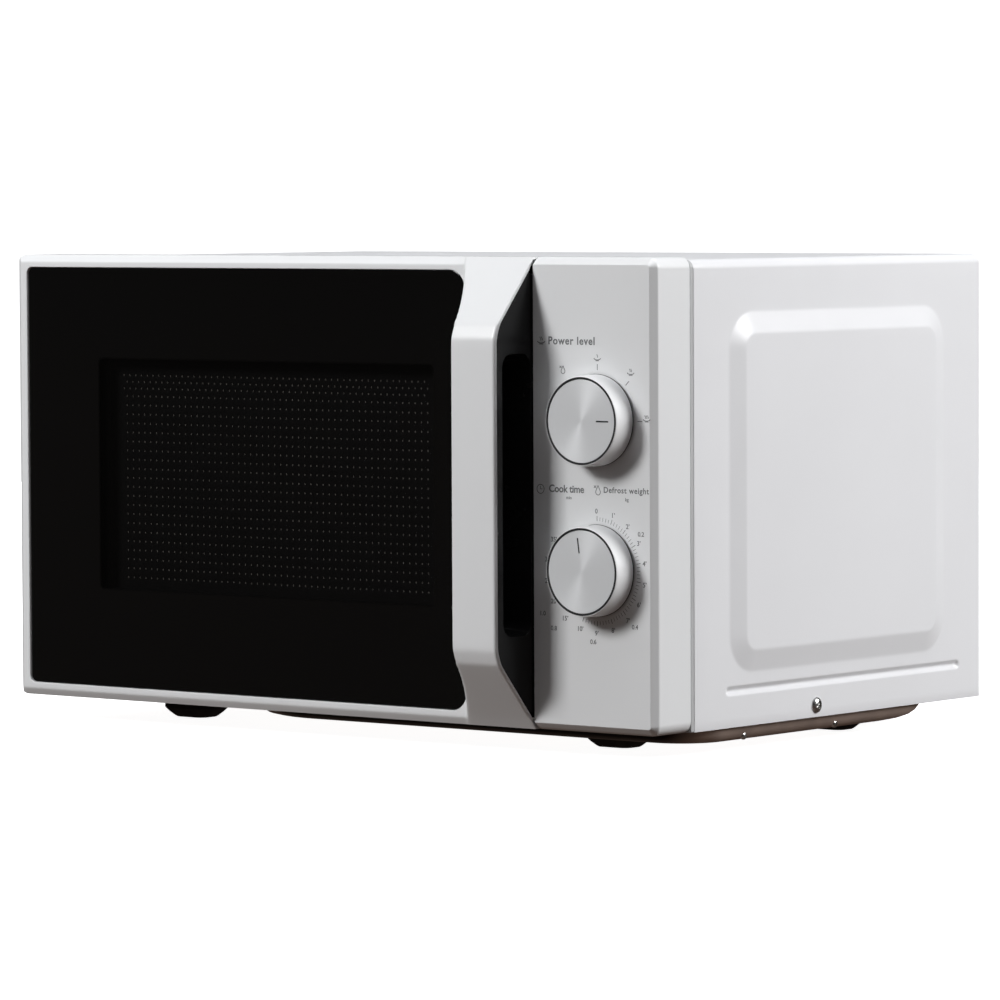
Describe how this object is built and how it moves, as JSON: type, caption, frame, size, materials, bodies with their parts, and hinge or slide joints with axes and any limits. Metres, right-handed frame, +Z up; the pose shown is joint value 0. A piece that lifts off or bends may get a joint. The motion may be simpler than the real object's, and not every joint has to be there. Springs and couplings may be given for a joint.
{
  "type": "microwave oven",
  "caption": "Compact countertop microwave oven with a side-hung glass door, moulded handle bar, two dial knobs and a glass turntable.",
  "frame": {"origin": "middle of the bounding box, on the plane that the feet stand on", "axes": "+Z up, -Y towards the door and controls, +X to the right as seen from the front"},
  "size_m": [0.446, 0.34, 0.2554],
  "materials": {
    "enamel": "white powder coat with a fine orange-peel texture",
    "white_plastic": "satin white moulding",
    "steel": "nickel-plated steel",
    "zinc": "zinc-coated sheet steel",
    "rubber": "black moulded rubber",
    "cavity_paint": "light grey cavity enamel",
    "mica": "pressed mica board",
    "dark_steel": "dark painted steel",
    "copper": "enamelled copper windings",
    "aluminium": "spun aluminium",
    "black_plastic": "black moulded plastic",
    "board": "phenolic circuit board",
    "lamp_glass": "clear lamp glass",
    "nylon": "natural nylon",
    "clear_glass": "clear tempered glass",
    "silver_plastic": "silver-painted plastic",
    "dark_glass": "glass printed gloss black, clear at the window",
    "gloss_black": "gloss black moulding",
    "clear_film": "clear plastic sheet"
  },
  "bodies": {
    "oven": {"cabinet_cover": "enamel", "side_screw_left": "steel", "side_screw_right": "steel", "base_pan": "zinc", "foot_front_left": "rubber", "foot_front_right": "rubber", "foot_rear_left": "rubber", "foot_rear_right": "rubber", "rear_panel": "zinc", "cord_gland": "rubber", "front_plate": "cavity_paint", "cavity_shell": "cavity_paint", "cavity_floor": "cavity_paint", "cavity_back": "cavity_paint", "waveguide": "zinc", "waveguide_cover": "mica", "magnetron": "zinc", "transformer_core": "dark_steel", "transformer_winding": "copper", "capacitor": "aluminium", "high_voltage_diode": "black_plastic", "filter_board": "board", "fan_shroud": "black_plastic", "fan_motor": "zinc", "cavity_lamp": "lamp_glass", "lamp_holder": "nylon", "turntable_motor": "zinc", "control_panel": "white_plastic", "power_selector": "nylon", "timer_case": "nylon", "hinge_bracket_upper": "zinc", "hinge_bracket_lower": "zinc", "interlock_bracket": "nylon", "interlock_switch_upper": "black_plastic", "interlock_switch_lower": "black_plastic", "interlock_switch_monitor": "black_plastic"},
    "door": {"door_frame": "white_plastic", "door_glass": "dark_glass", "handle_liner": "gloss_black", "door_inner_panel": "dark_steel", "choke_cover": "black_plastic", "inner_window_film": "clear_film"},
    "latch": {"door_latch": "nylon", "latch_spring": "steel"},
    "power_dial": {"power_knob": "silver_plastic", "power_knob_face": "aluminium", "power_shaft": "steel"},
    "timer_dial": {"timer_knob": "silver_plastic", "timer_knob_face": "aluminium", "timer_shaft": "steel"},
    "turntable": {"turntable_coupler": "nylon", "glass_tray": "clear_glass"},
    "roller_ring": {"roller_ring": "nylon"},
    "wheel_1": {"roller_1": "nylon"},
    "wheel_2": {"roller_2": "nylon"},
    "wheel_3": {"roller_3": "nylon"},
    "fan": {"fan_impeller": "black_plastic"},
    "plunger_upper": {"switch_plunger_upper": "white_plastic"},
    "plunger_lower": {"switch_plunger_lower": "white_plastic"},
    "plunger_monitor": {"switch_plunger_monitor": "white_plastic"}
  },
  "joints": [
    {"name": "door_swing", "type": "hinge", "parent": "oven", "child": "door", "pos_m": [-0.2125, -0.1165, 0.13], "axis": [0, 0, -1], "range_deg": [0, 100]},
    {"name": "latch_lift", "type": "slide", "parent": "door", "child": "latch", "axis": [0, 0, 1], "range_m": [0, 0.004], "stiffness_N_per_m": 200, "springref_m": -0.008, "deforming": ["latch_spring"]},
    {"name": "power_turn", "type": "hinge", "parent": "oven", "child": "power_dial", "pos_m": [0.184, -0.139, 0.173], "axis": [0, -1, 0], "range_deg": [0, 180]},
    {"name": "timer_turn", "type": "hinge", "parent": "oven", "child": "timer_dial", "pos_m": [0.184, -0.139, 0.0968], "axis": [0, 1, 0], "range_deg": [0, 306]},
    {"name": "turntable_spin", "type": "hinge", "parent": "oven", "child": "turntable", "pos_m": [-0.043, 0.0215, 0.03], "axis": [0, 0, 1], "continuous": true},
    {"name": "ring_roll", "type": "hinge", "parent": "oven", "child": "roller_ring", "pos_m": [-0.043, 0.0215, 0.0413], "axis": [0, 0, 1], "continuous": true},
    {"name": "fan_spin", "type": "hinge", "parent": "oven", "child": "fan", "pos_m": [0.166, 0.129, 0.152], "axis": [0, 1, 0], "continuous": true},
    {"name": "plunger_upper_travel", "type": "slide", "parent": "oven", "child": "plunger_upper", "axis": [0, -1, 0], "range_m": [0, 0.0015]},
    {"name": "plunger_lower_travel", "type": "slide", "parent": "oven", "child": "plunger_lower", "axis": [0, -1, 0], "range_m": [0, 0.0015]},
    {"name": "plunger_monitor_travel", "type": "slide", "parent": "oven", "child": "plunger_monitor", "axis": [0, 0, 1], "range_m": [0, 0.0015]},
    {"name": "roller_1_roll", "type": "hinge", "parent": "roller_ring", "child": "wheel_1", "pos_m": [-0.043, 0.1175, 0.0413], "axis": [0, 1, 0], "continuous": true},
    {"name": "roller_2_roll", "type": "hinge", "parent": "roller_ring", "child": "wheel_2", "pos_m": [-0.12614, -0.0265, 0.0413], "axis": [-0.866, -0.5, 0], "continuous": true},
    {"name": "roller_3_roll", "type": "hinge", "parent": "roller_ring", "child": "wheel_3", "pos_m": [0.04014, -0.0265, 0.0413], "axis": [0.866, -0.5, 0], "continuous": true}
  ],
  "couplings": [
    {"joint": "ring_roll", "follows": "turntable_spin", "ratio": 0.5},
    {"joint": "roller_1_roll", "follows": "turntable_spin", "ratio": -6.8571},
    {"joint": "roller_2_roll", "follows": "turntable_spin", "ratio": -6.8571},
    {"joint": "roller_3_roll", "follows": "turntable_spin", "ratio": -6.8571},
    {"joint": "plunger_upper_travel", "follows": "door_swing", "m_per_rad": 0.00085},
    {"joint": "plunger_lower_travel", "follows": "door_swing", "m_per_rad": 0.00085},
    {"joint": "plunger_monitor_travel", "follows": "door_swing", "m_per_rad": 0.00085}
  ]
}
